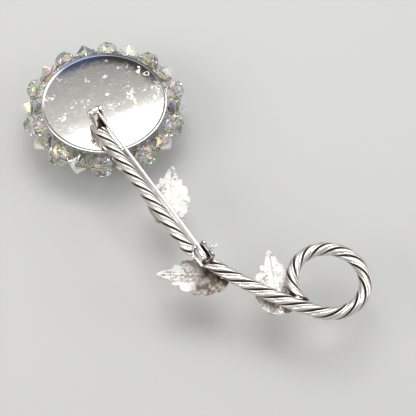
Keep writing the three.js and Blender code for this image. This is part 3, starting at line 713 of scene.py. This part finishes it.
def milled_bar(name, turn):
    """A straight strand along X, built from one bar of the milling and repeated."""
    nothing_selected()
    bpy.ops.mesh.primitive_circle_add(vertices=len(STRAND_SECTION), radius=ROPE_RADIUS)
    strand = plain_name(bpy.context.object, name)
    for vertex, (angle, share, lift) in zip(strand.data.vertices, STRAND_SECTION):
        radius, turned = share * ROPE_RADIUS, math.radians(angle) + turn
        vertex.co = (0, radius * math.cos(turned), radius * math.sin(turned))
    bpy.ops.object.mode_set(mode="EDIT")
    bpy.ops.mesh.select_mode(type="EDGE")
    bpy.ops.mesh.select_all(action="SELECT")
    step = (MILLING_PITCH / MILLING_STEPS, 0, 0)
    for _ in range(MILLING_STEPS):
        bpy.ops.mesh.extrude_region_move(TRANSFORM_OT_translate={"value": step})
    bpy.ops.object.mode_set(mode="OBJECT")
    for vertex in strand.data.vertices:
        angle, share, lift = STRAND_SECTION[vertex.index % len(STRAND_SECTION)]
        rise = 1 + math.sin(math.pi * vertex.co.x / MILLING_PITCH) * lift
        vertex.co.y *= rise
        vertex.co.z *= rise
    repeat = strand.modifiers.new("milling", "ARRAY")
    repeat.use_relative_offset = False
    repeat.use_constant_offset = True
    repeat.constant_offset_displace = (MILLING_PITCH, 0, 0)
    repeat.count = int((ROPE_LENGTH + LOOP_SPARE) / MILLING_PITCH)
    repeat.use_merge_vertices = True
    repeat.merge_threshold = 1e-6
    apply_all(strand)
    return strand


def stem_side_cut(strand):
    """The loop's end is cut along the stem's side, which it is soldered to."""
    end, end_heading = rope_point(ROPE_LENGTH)
    beside_loop = (rope_point(d * MM) for d in range(40, 76))
    stem, stem_heading = min(beside_loop, key=lambda at: (at[0] - end).length)
    turned = end_heading - stem_heading
    side = Vector((-math.sin(stem_heading), math.cos(stem_heading), 0))
    beside = stem + side * (ROPE_RADIUS + STEM_JOINT)
    ahead = (beside - end).dot(side) / math.sin(turned)
    bpy.ops.object.mode_set(mode="EDIT")
    bpy.ops.mesh.select_all(action="SELECT")
    bpy.ops.mesh.bisect(
        plane_co=(ROPE_LENGTH + ahead, 0, 0), plane_no=(math.sin(turned), math.cos(turned), 0),
        use_fill=True, clear_inner=True, threshold=1e-7,
    )
    bpy.ops.object.mode_set(mode="OBJECT")


ROPE_BRIGHT = (0.81, 0.775, 0.735)
ROPE_SCRATCHED = (0.90, 0.875, 0.83)
ROPE_GROOVE_SHADE = (0.17, 0.14, 0.12)
# how deep below the rope's surface the painted shade in the grooves begins and is full, as shares of the
# rope's radius
GROOVE_SHADE_FROM = 0.045
GROOVE_SHADE_FULL = 0.13


def plated_rope():
    material, tree, shader = new_material("plated_rope")
    socket_values(shader, Metallic=1.0)
    scratches = scratches_on(tree, 900, 0.5)
    # painted shade: the rope is darker in the grooves between its strands, the deeper below its surface
    shade_in_hollows = tree.nodes.new("ShaderNodeMapRange")
    shade_in_hollows.inputs["From Min"].default_value = GROOVE_SHADE_FROM
    shade_in_hollows.inputs["From Max"].default_value = GROOVE_SHADE_FULL
    tree.links.new(own_values(tree, "depth").outputs["Fac"], shade_in_hollows.inputs["Value"])
    bright = mixed_colour(tree, scratches, ROPE_BRIGHT, ROPE_SCRATCHED)
    colour = mixed_colour(tree, shade_in_hollows.outputs["Result"], bright, ROPE_GROOVE_SHADE)
    tree.links.new(colour, shader.inputs["Base Color"])
    tree.links.new(ranged(tree, shade_in_hollows.outputs["Result"], 0.17, 0.6), shader.inputs["Roughness"])
    return material


ROPE_PLATE = plated_rope()
guide = rope_guide()
for number in range(1, STRANDS + 1):
    strand = milled_bar(f"rope_strand_{number}", (number - 0.5) * 2 * math.pi / STRANDS)
    depth = strand.data.attributes.new("depth", "FLOAT", "POINT")
    for vertex in strand.data.vertices:
        depth.data[vertex.index].value = 1 - math.hypot(vertex.co.y, vertex.co.z) / ROPE_RADIUS
    length = max(v.co.x for v in strand.data.vertices)
    twist = strand.modifiers.new("twist", "SIMPLE_DEFORM")
    twist.deform_method = "TWIST"
    twist.deform_axis = "X"
    twist.angle = -2 * math.pi * length / ROPE_PITCH
    apply_all(strand)
    stem_side_cut(strand)
    bend = strand.modifiers.new("bend", "CURVE")
    bend.object = guide
    bend.deform_axis = "POS_X"
    apply_all(strand)
    bpy.ops.object.mode_set(mode="EDIT")
    bpy.ops.mesh.select_all(action="DESELECT")
    bpy.ops.mesh.select_mode(type="EDGE")
    bpy.ops.mesh.select_non_manifold()
    bpy.ops.mesh.fill()
    finish_edit()
    smooth(strand, 50)
    strand.data.materials.append(ROPE_PLATE)
    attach(strand, "root")
    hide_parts(f"stem_strand_{number}")
bpy.data.objects.remove(guide)
shown_as_it_is("stem_core", ROPE_PLATE)


# ---------------------------------------------------------------- leaves
# Three leaves stamped from thin sheet with one die, plated and satin, soldered under the rope by
# their bases. The die leaves a midrib, veins to the teeth and a fine grain; each is dented its own way.

LEAF_LENGTH = 17.5 * MM
LEAF_WALL = 0.3 * MM
LEAF_LEVEL = 0.05 * MM
# the outline's corners in millimetres: from the tip, out from the midrib, and where their vein
# leaves the midrib
LEAF_CORNERS = (
    (0.0, 0.0, 0.0), (0.3, 0.42, 0.7), (1.1, 0.85, 1.8), (2.1, 1.2, 3.0), (3.9, 1.8, 4.6),
    (3.6, 2.6, 5.0), (4.4, 2.95, 5.7), (5.5, 2.75, 6.7), (6.0, 4.1, 7.5), (7.3, 4.5, 8.4),
    (8.3, 4.3, 9.3), (9.0, 5.15, 10.0), (10.2, 5.1, 10.9), (11.0, 4.7, 11.7), (11.8, 5.3, 12.4),
    (13.3, 4.8, 13.4), (14.4, 4.0, 14.3), (14.9, 4.4, 15.0), (16.2, 3.6, 15.9), (17.2, 1.9, 16.8),
    (17.5, 0.3, 17.5),
)
TOOTH_VEINS = (5.0, 7.5, 10.0, 12.4, 15.0)
ROWS_PER_CORNER = 6
LEAF_COLUMNS = 17
# the stamping's relief in millimetres
VEIN_DEPTH = 0.05
RIB_DEPTH = 0.12
VEIN_WIDTH = 0.2
LEAF_SINK = 0.1
DENT_DEPTH = 0.06
DENTS_PER_METRE = 420
CURL_FROM_TIP = 4.4
CURL_FROM_RIB = 1.5
SHADE_FADE = 2.0
# along the rope, across it, pointing, tilt about the midrib, curled tooth, and how far from the
# tip the painted shade starts
LEAF_PLACES = (
    (32, 0, 53.5, 0, 0.12, 0), (53.3, 0.7, 146, 4, 0, 9.5), (68.6, -2.7, 65.5, 0, 0.3, 0),
)


def leaf_row(row):
    """A row of the leaf: its place on the outline, and where it leaves the midrib."""
    corner = min(int(row / ROWS_PER_CORNER), len(LEAF_CORNERS) - 2)
    share = row / ROWS_PER_CORNER - corner
    first, second = LEAF_CORNERS[corner], LEAF_CORNERS[corner + 1]
    return [a + (b - a) * share for a, b in zip(first, second)]


def stamped_leaf(name, curled_tooth, shaded_from, seed):
    """A leaf along +X with its base at the origin; a tooth on its right side may be curled up."""
    rows = ROWS_PER_CORNER * (len(LEAF_CORNERS) - 1)
    nothing_selected()
    bpy.ops.mesh.primitive_grid_add(x_subdivisions=rows, y_subdivisions=2 * LEAF_COLUMNS, size=1)
    leaf = plain_name(bpy.context.object, name)
    painted_shade = leaf.data.attributes.new("painted_shade", "FLOAT", "POINT")
    for vertex in leaf.data.vertices:
        row = (vertex.co.x + 0.5) * rows
        across = vertex.co.y * 2
        from_tip, out, vein = leaf_row(row)
        reach = abs(across)
        along = vein + (from_tip - vein) * reach**0.9
        side = out * across
        ridge = min(abs(vein - tooth) for tooth in TOOTH_VEINS)
        groove = VEIN_DEPTH * math.exp(-((ridge / VEIN_WIDTH) ** 2)) * min(1, reach * 4) * (1 - reach**3)
        rib = RIB_DEPTH * math.exp(-((side / VEIN_WIDTH) ** 2)) * min(1, vein / 2)
        bow = -0.07 * abs(side) - 0.008 * side**2
        place = Vector((LEAF_LENGTH - along * MM, side * MM, 0))
        dent_place = Vector((place.x * DENTS_PER_METRE, place.y * DENTS_PER_METRE, seed))
        dents = noise.noise(dent_place) * DENT_DEPTH
        curl = 0.0
        if across < 0 and curled_tooth:
            near = math.exp(-((along - CURL_FROM_TIP) ** 2))
            curl = curled_tooth * near * max(0, abs(side) - CURL_FROM_RIB) ** 1.5
        place.z = (bow + dents + curl - groove - rib - LEAF_SINK) * MM
        vertex.co = place
        # painted shade: the leaf darkens from a slanted line across it towards its base
        if shaded_from:
            share = (along - shaded_from + 0.5 * side) / SHADE_FADE
            painted_shade.data[vertex.index].value = min(1, max(0, share))
    wall = leaf.modifiers.new("wall", "SOLIDIFY")
    wall.thickness = LEAF_WALL
    wall.offset = -1
    apply_all(leaf)
    bpy.ops.object.mode_set(mode="EDIT")
    finish_edit()
    smooth(leaf, 50)
    return leaf


SATIN_BRIGHT = (0.60, 0.59, 0.565)
SATIN_WORN = (0.30, 0.275, 0.245)
SATIN_PAINTED_SHADE = (0.13, 0.10, 0.075)


def satin_plate():
    material, tree, shader = new_material("satin_plate")
    socket_values(shader, Metallic=1.0)
    grain = cloudy(tree, 4, 2800)
    spots = spots_on(tree, 1500, 260, 0.10, 0.08)
    clean = mixed_colour(tree, spots, SATIN_BRIGHT, SATIN_WORN)
    blotch = spots_on(tree, 1100, 500, 0.17, 0.08)
    uneven = ranged(tree, blotch, 0.55, 1.0)
    # painted shade on the leaf by the catch, made uneven by the blotches
    dark = worked_out(tree, "MULTIPLY", own_values(tree, "painted_shade").outputs["Fac"], uneven)
    colour = mixed_colour(tree, dark, clean, SATIN_PAINTED_SHADE)
    tree.links.new(colour, shader.inputs["Base Color"])
    tree.links.new(ranged(tree, grain.outputs["Fac"], 0.36, 0.66), shader.inputs["Roughness"])
    bumped(tree, shader, grain.outputs["Fac"], 0.45, 0.14 * MM)
    return material


def beside_rope(along, across):
    """A place at rope height zero: so far along the rope and so far to its left, in millimetres."""
    base, heading = rope_point(along * MM)
    return base + Vector((-math.sin(heading), math.cos(heading), 0)) * across * MM


SATIN = satin_plate()
for number, (along, across, pointing, tilt, curled_tooth, shaded_from) in enumerate(LEAF_PLACES, 1):
    leaf = stamped_leaf(f"stamped_leaf_{number}", curled_tooth, shaded_from, 10 + number)
    place = beside_rope(along, across)
    place.z = LEAF_LEVEL
    turned = Matrix.Rotation(math.radians(pointing), 4, "Z") @ Matrix.Rotation(math.radians(tilt), 4, "X")
    leaf.data.transform(Matrix.Translation(place) @ turned)
    leaf.data.materials.append(SATIN)
    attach(leaf, "root")
    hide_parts(f"leaf_{number}")


# ---------------------------------------------------------------- hinge, needle and catch
# A folded bracket with a rivet holds the needle's knuckle. At the far end a saddle with two
# rings holds a slotted rotor that closes over the needle. All are plated brass, the needle steel.

# the needle's line, across and up; the rivet's place, along and up
NEEDLE_AXIS = (-5.15 * MM, 6.1 * MM)
PIVOT = (-5.7 * MM, 6.1 * MM)
HINGE_MIDDLE = -5.63 * MM
HINGE_HALF_GAP = 1.05 * MM
NEEDLE_RADIUS = 0.42 * MM
NEEDLE_TAPER_START = -53.0 * MM
KNUCKLE_RADIUS = 0.9 * MM
KNUCKLE_WIDTH = 1.8 * MM
KNUCKLE_ROUNDING = 0.08 * MM
RIVET_HOLE = 0.48 * MM
CATCH_BORE = 1.55 * MM
ROTOR_SLOT = 0.56 * MM
LEVER_END = -1.6 * MM
LEVER_ROUNDING = 0.36 * MM
HINGE_ROUNDING = 0.06 * MM
CATCH_ROUNDING = 0.05 * MM
SADDLE_TOP = -1.6 * MM
SADDLE_FLOOR = -1.85 * MM
SHADE_REACH = 0.02 * MM
# how far each step of the point goes, and how wide it ends
NEEDLE_POINT = ((1.2, 0.39), (1.2, 0.30), (0.9, 0.19), (0.5, 0.10), (0.2, 0.045))
FINDINGS_BRIGHT = (0.80, 0.775, 0.74)
FINDINGS_WORN = (0.42, 0.34, 0.27)
FINDINGS_HOLLOW_SHADE = (0.11, 0.075, 0.05)
STEEL_BRIGHT = (0.90, 0.89, 0.875)
STEEL_SCRATCHED = (0.72, 0.71, 0.69)


def plated_findings():
    material, tree, shader = new_material("plated_findings")
    socket_values(shader, Metallic=1.0)
    spots = spots_on(tree, 2200, 500, 0.065, 0.14)
    # painted shade: inside the hinge bracket, the catch's bore and the rotor's slot, the findings are
    # darker brown
    shade_in_hollows = own_values(tree, "shade_in_hollows")
    colour = mixed_colour(tree, spots, FINDINGS_BRIGHT, FINDINGS_WORN)
    colour = mixed_colour(tree, shade_in_hollows.outputs["Fac"], colour, FINDINGS_HOLLOW_SHADE)
    tree.links.new(colour, shader.inputs["Base Color"])
    worn_rough = ranged(tree, spots, 0.14, 0.4)
    grimy_rough = ranged(tree, shade_in_hollows.outputs["Fac"], 0, 0.5)
    tree.links.new(joined_masks(tree, [worn_rough, grimy_rough]), shader.inputs["Roughness"])
    return material


def polished_steel():
    material, tree, shader = new_material("polished_steel")
    socket_values(shader, Metallic=1.0)
    scratches = scratches_on(tree, 1200, 0.5)
    colour = mixed_colour(tree, scratches, STEEL_BRIGHT, STEEL_SCRATCHED)
    tree.links.new(colour, shader.inputs["Base Color"])
    tree.links.new(ranged(tree, scratches, 0.13, 0.3), shader.inputs["Roughness"])
    return material


FINDINGS = plated_findings()
STEEL = polished_steel()


def rounded_copy(node, name, body, width, is_shaded, round_end=None):
    """The node's own shape with its edges rounded, more so where round_end picks them.

    Painted shade darkens the hollows that the last argument picks.
    """
    piece = bpy.data.objects.new(name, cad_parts[node].data.copy())
    bpy.context.scene.collection.objects.link(piece)
    piece.data.materials.clear()
    only(piece)
    bpy.ops.object.mode_set(mode="EDIT")
    bpy.ops.mesh.select_all(action="SELECT")
    bpy.ops.mesh.remove_doubles(threshold=1e-6)
    bpy.ops.mesh.dissolve_limited(angle_limit=math.radians(1))
    if round_end:
        bpy.ops.mesh.select_mode(type="EDGE")
        bpy.ops.mesh.select_all(action="DESELECT")
        bpy.ops.object.mode_set(mode="OBJECT")
        for edge in piece.data.edges:
            edge.select = round_end(*(piece.data.vertices[v].co for v in edge.vertices))
        bpy.ops.object.mode_set(mode="EDIT")
        bpy.ops.mesh.bevel(offset=LEVER_ROUNDING, segments=5)
    bpy.ops.object.mode_set(mode="OBJECT")
    round_edges(piece, width)
    smooth(piece)
    shade_in_hollows = piece.data.attributes.new("shade_in_hollows", "FLOAT", "POINT")
    for vertex in piece.data.vertices:
        shade_in_hollows.data[vertex.index].value = 1.0 if is_shaded(vertex.co) else 0.0
    piece.data.materials.append(FINDINGS)
    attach(piece, body)
    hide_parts(node)


# these pick where painted shade goes: inside the bracket, in the saddle's bore and in the rotor's slot
def inside_bracket(place):
    return abs(place.x - HINGE_MIDDLE) < HINGE_HALF_GAP + SHADE_REACH


def inside_saddle(place):
    """In the rings' bore, or in the gap between the rotor and the saddle's floor."""
    across, up = place.x - NEEDLE_AXIS[0], place.z - NEEDLE_AXIS[1]
    under_rotor = abs(across) < CATCH_BORE and SADDLE_FLOOR < up < SADDLE_TOP
    return under_rotor or math.hypot(across, up) < CATCH_BORE


def inside_slot(place):
    return abs(place.x - NEEDLE_AXIS[0]) < ROTOR_SLOT and place.z > NEEDLE_AXIS[1] - ROTOR_SLOT


def lever_end(first, second):
    """Whether an edge between two corners stands at the lever's free end."""
    return min(first.x, second.x) > LEVER_END and abs(first.z - second.z) > LEVER_ROUNDING


rounded_copy("hinge_bracket", "folded_bracket", "root", HINGE_ROUNDING, inside_bracket)
rounded_copy("hinge_rivet", "rivet", "root", HINGE_ROUNDING, lambda place: False)
rounded_copy("catch_housing", "catch_saddle", "root", CATCH_ROUNDING, inside_saddle)
rounded_copy("catch_rotor", "slotted_rotor", "rotor", CATCH_ROUNDING, inside_slot, lever_end)


def rod_piece(name, sides, radius, length, place, rotation):
    nothing_selected()
    bpy.ops.mesh.primitive_cylinder_add(
        vertices=sides, radius=radius, depth=length, end_fill_type="NGON", location=place, rotation=rotation
    )
    return place_in_mesh(plain_name(bpy.context.object, name))


def combined(piece, other, operation):
    boolean = piece.modifiers.new(operation.lower(), "BOOLEAN")
    boolean.operation = operation
    boolean.solver = "EXACT"
    boolean.object = other
    apply_all(piece)
    bpy.data.objects.remove(other)


CROSSWISE = (0, math.pi / 2, 0)
LENGTHWISE = (math.pi / 2, 0, 0)
knuckle_place = (HINGE_MIDDLE, *PIVOT)
needle = rod_piece("needle", 48, KNUCKLE_RADIUS, KNUCKLE_WIDTH, knuckle_place, CROSSWISE)
round_edges(needle, KNUCKLE_ROUNDING)
shaft_length = PIVOT[0] - NEEDLE_TAPER_START
shaft_middle = (NEEDLE_AXIS[0], PIVOT[0] - shaft_length / 2, NEEDLE_AXIS[1])
shaft = rod_piece("shaft", 32, NEEDLE_RADIUS, shaft_length, shaft_middle, LENGTHWISE)
pick_faces(shaft, lambda face: face.normal.y < -0.9)
width = NEEDLE_RADIUS
for step, next_width in NEEDLE_POINT:
    bpy.ops.mesh.extrude_region_move(TRANSFORM_OT_translate={"value": (0, -step * MM, 0)})
    narrower = next_width * MM / width
    bpy.ops.transform.resize(value=(narrower, 1, narrower))
    width = next_width * MM
bpy.ops.object.mode_set(mode="OBJECT")
combined(needle, shaft, "UNION")
bore = rod_piece("bore", 48, RIVET_HOLE, 2 * KNUCKLE_WIDTH, knuckle_place, CROSSWISE)
combined(needle, bore, "DIFFERENCE")
smooth(needle)
needle.data.materials.append(STEEL)
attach(needle, "pin")
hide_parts("pin_needle")


# ---------------------------------------------------------------- solder
# Soft solder holds the stem and hinge to the plate, the catch and the leaves to the rope, and the
# loop's end to the stem. It has run into low, uneven pads and was plated over with the rest.

PLATE_SOLDER_LEVEL = 0.16 * MM
LEAF_SOLDER_LEVEL = 0.12 * MM


def solder_pad(name, place, half_size, turn, seed):
    """A pad of half_size in millimetres, squarer than a ball and swollen unevenly."""
    nothing_selected()
    bpy.ops.mesh.primitive_ico_sphere_add(subdivisions=4, radius=1)
    pad = plain_name(bpy.context.object, name)
    for vertex in pad.data.vertices:
        swell = 1 + 0.22 * noise.noise(vertex.co * 1.6 + Vector((seed, 0, 0)))
        squared = [math.copysign(abs(c) ** 0.75, c) * swell * half for c, half in zip(vertex.co, half_size)]
        vertex.co = [c * MM for c in squared]
    pad.data.transform(Matrix.Translation(Vector(place)) @ Matrix.Rotation(turn, 4, "Z"))
    smooth(pad, 60)
    pad.data.materials.append(FINDINGS)
    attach(pad, "root")


solder_pad("solder_hinge", (HINGE_MIDDLE, -7.2 * MM, PLATE_SOLDER_LEVEL), (1.75, 2.9, 0.42), 0, 1)
solder_pad("solder_stem", (STEM_TOP.x, -12.2 * MM, PLATE_SOLDER_LEVEL), (1.35, 2.5, 0.45), 0, 2)
solder_pad("solder_catch", (-5.2 * MM, -55.4 * MM, 3.72 * MM), (1.3, 2.1, 0.3), 0, 3)
for number, (along, across, pointing, *_) in enumerate(LEAF_PLACES, 1):
    turn = math.radians(pointing)
    place = beside_rope(along, across) + Vector((math.cos(turn), math.sin(turn), 0)) * MM
    place.z = LEAF_SOLDER_LEVEL
    solder_pad(f"solder_leaf_{number}", place, (1.3, 1.1, 0.36), turn, 3 + number)
end, end_heading = rope_point(ROPE_LENGTH)
solder_pad("solder_loop", (*end.xy, ROPE_HEIGHT), (0.95, 0.95, 1.15), end_heading, 9)
